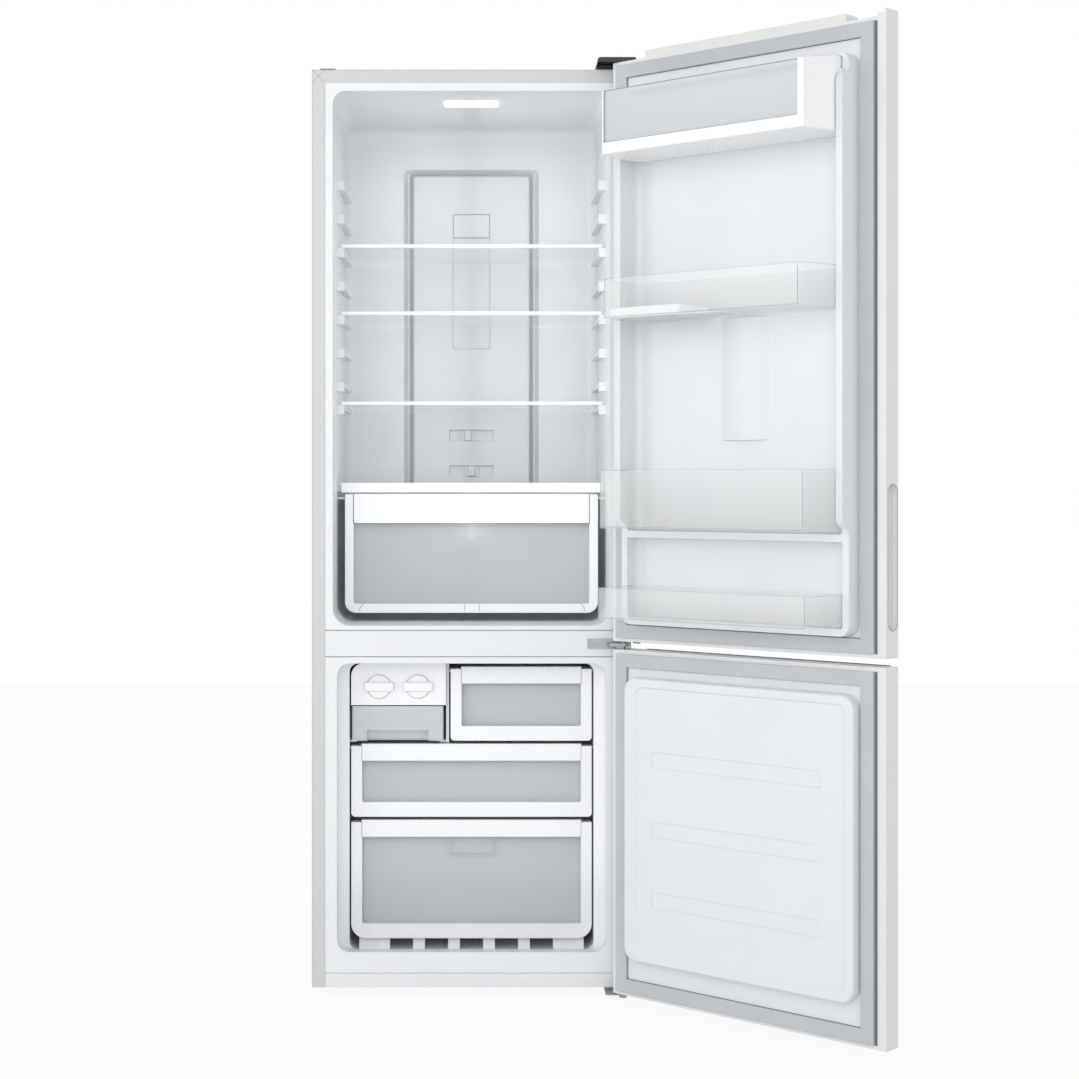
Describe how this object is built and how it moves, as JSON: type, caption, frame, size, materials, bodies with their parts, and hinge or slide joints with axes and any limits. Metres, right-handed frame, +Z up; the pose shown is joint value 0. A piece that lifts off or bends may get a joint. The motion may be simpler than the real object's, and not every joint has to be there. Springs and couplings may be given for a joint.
{
  "type": "bottom freezer refrigerator",
  "caption": "Tall free-standing refrigerator above a bottom freezer, with its doors open on shelves, drawers, door bins and an ice maker.",
  "frame": {"origin": "on the floor, on the cabinet's centre line, below the plane of the cabinet's front rim", "axes": "+X to the right seen from the front (hinge side), +Y from the front to the back, +Z up"},
  "size_m": [1.0187, 1.0601, 1.766],
  "materials": {
    "cabinet_paint": "satin white paint",
    "door_steel": "satin light grey paint",
    "zinc_sheet": "plain zinc coated sheet",
    "hinge_steel": "plated steel",
    "liner_white": "smooth white plastic",
    "trim_white": "smooth white plastic",
    "edge_grey": "light grey plastic",
    "front_white": "smooth white plastic",
    "tub_clear": "translucent plastic",
    "bin_clear": "clear plastic",
    "window_grey": "translucent grey plastic",
    "shelf_glass": "clear glass",
    "lens": "milky lens",
    "gasket_grey": "grey flexible seal",
    "foam": "rigid foam",
    "cover_black": "black plastic",
    "dark_plastic": "dark plastic",
    "coil": "bare aluminium",
    "black_paint": "black paint"
  },
  "bodies": {
    "cabinet": {"cabinet_shell": "cabinet_paint", "rear_panel": "zinc_sheet", "base_plate": "zinc_sheet", "bottom_strip": "edge_grey", "cabinet_insulation": "foam", "fridge_liner": "liner_white", "freezer_liner": "liner_white", "middle_rail": "cabinet_paint", "light_lens": "lens", "air_duct_panel": "trim_white", "filter_cover": "trim_white", "glass_shelves": "shelf_glass", "shelf_trims": "trim_white", "ice_maker_housing": "trim_white", "freezer_divider": "trim_white", "freezer_air_panel": "trim_white", "evaporator": "coil", "fan_motor": "black_paint", "compressor": "black_paint", "drip_tray": "dark_plastic", "rear_grille": "dark_plastic", "power_inlet": "cover_black", "top_hinge": "hinge_steel", "top_covers": "cover_black", "middle_hinge": "hinge_steel", "bottom_hinge": "hinge_steel", "levelling_feet": "dark_plastic", "cabinet_screws": "hinge_steel"},
    "upper_door": {"upper_door_skin": "door_steel", "upper_door_liner": "liner_white", "upper_door_gasket": "gasket_grey", "upper_door_caps": "edge_grey", "upper_door_grip": "edge_grey", "upper_door_insulation": "foam", "dairy_bin": "trim_white", "dairy_window": "window_grey", "upper_bin": "bin_clear", "egg_tray": "trim_white", "middle_bin": "bin_clear", "bottom_bin": "bin_clear"},
    "lower_door": {"lower_door_skin": "door_steel", "lower_door_liner": "liner_white", "lower_door_gasket": "gasket_grey", "lower_door_trim": "edge_grey", "lower_door_insulation": "foam"},
    "crisper": {"crisper_tub": "tub_clear", "crisper_front": "front_white"},
    "small_drawer": {"small_drawer_tub": "tub_clear", "small_drawer_front": "front_white"},
    "middle_drawer": {"middle_drawer_tub": "tub_clear", "middle_drawer_front": "front_white"},
    "bottom_drawer": {"bottom_drawer_tub": "tub_clear", "bottom_drawer_front": "front_white"},
    "ice_bucket_body": {"ice_bucket": "tub_clear"},
    "left_tray": {"left_ice_tray": "trim_white"},
    "right_tray": {"right_ice_tray": "trim_white"},
    "upper_slider": {"upper_vent_slider": "trim_white"},
    "lower_slider": {"lower_vent_slider": "trim_white"},
    "fan": {"evaporator_fan": "dark_plastic"},
    "rollers": {"rear_rollers": "dark_plastic"}
  },
  "joints": [
    {"name": "upper_door_hinge", "type": "hinge", "parent": "cabinet", "child": "upper_door", "pos_m": [0.283, -0.0255, 0.6628], "axis": [0, 0, 1], "range_deg": [-136.7, 5]},
    {"name": "lower_door_hinge", "type": "hinge", "parent": "cabinet", "child": "lower_door", "pos_m": [0.283, -0.0255, 0.014], "axis": [0, 0, 1], "range_deg": [-136.7, 5]},
    {"name": "crisper_slide", "type": "slide", "parent": "cabinet", "child": "crisper", "axis": [0, -1, 0], "range_m": [0, 0.26]},
    {"name": "small_drawer_slide", "type": "slide", "parent": "cabinet", "child": "small_drawer", "axis": [0, -1, 0], "range_m": [0, 0.24]},
    {"name": "middle_drawer_slide", "type": "slide", "parent": "cabinet", "child": "middle_drawer", "axis": [0, -1, 0], "range_m": [0, 0.24]},
    {"name": "bottom_drawer_slide", "type": "slide", "parent": "cabinet", "child": "bottom_drawer", "axis": [0, -1, 0], "range_m": [0, 0.24]},
    {"name": "ice_bucket_slide", "type": "slide", "parent": "cabinet", "child": "ice_bucket_body", "axis": [0, -1, 0], "range_m": [0, 0.22]},
    {"name": "left_ice_tray_turn", "type": "hinge", "parent": "cabinet", "child": "left_tray", "pos_m": [-0.17595, 0.045, 0.57734], "axis": [0, 1, 0], "range_deg": [0, 150], "stiffness_Nm_per_rad": 0.05},
    {"name": "right_ice_tray_turn", "type": "hinge", "parent": "cabinet", "child": "right_tray", "pos_m": [-0.10175, 0.045, 0.57734], "axis": [0, 1, 0], "range_deg": [0, 150], "stiffness_Nm_per_rad": 0.05},
    {"name": "upper_vent_slide", "type": "slide", "parent": "cabinet", "child": "upper_slider", "axis": [1, 0, 0], "range_m": [-0.0242, 0.0382]},
    {"name": "lower_vent_slide", "type": "slide", "parent": "cabinet", "child": "lower_slider", "axis": [1, 0, 0], "range_m": [-0.0312, 0.0312]},
    {"name": "evaporator_fan_spin", "type": "hinge", "parent": "cabinet", "child": "fan", "pos_m": [0, 0.379, 0.561], "axis": [0, 1, 0], "continuous": true},
    {"name": "rear_rollers_spin", "type": "hinge", "parent": "cabinet", "child": "rollers", "pos_m": [0, 0.54, 0.01], "axis": [1, 0, 0], "continuous": true}
  ]
}
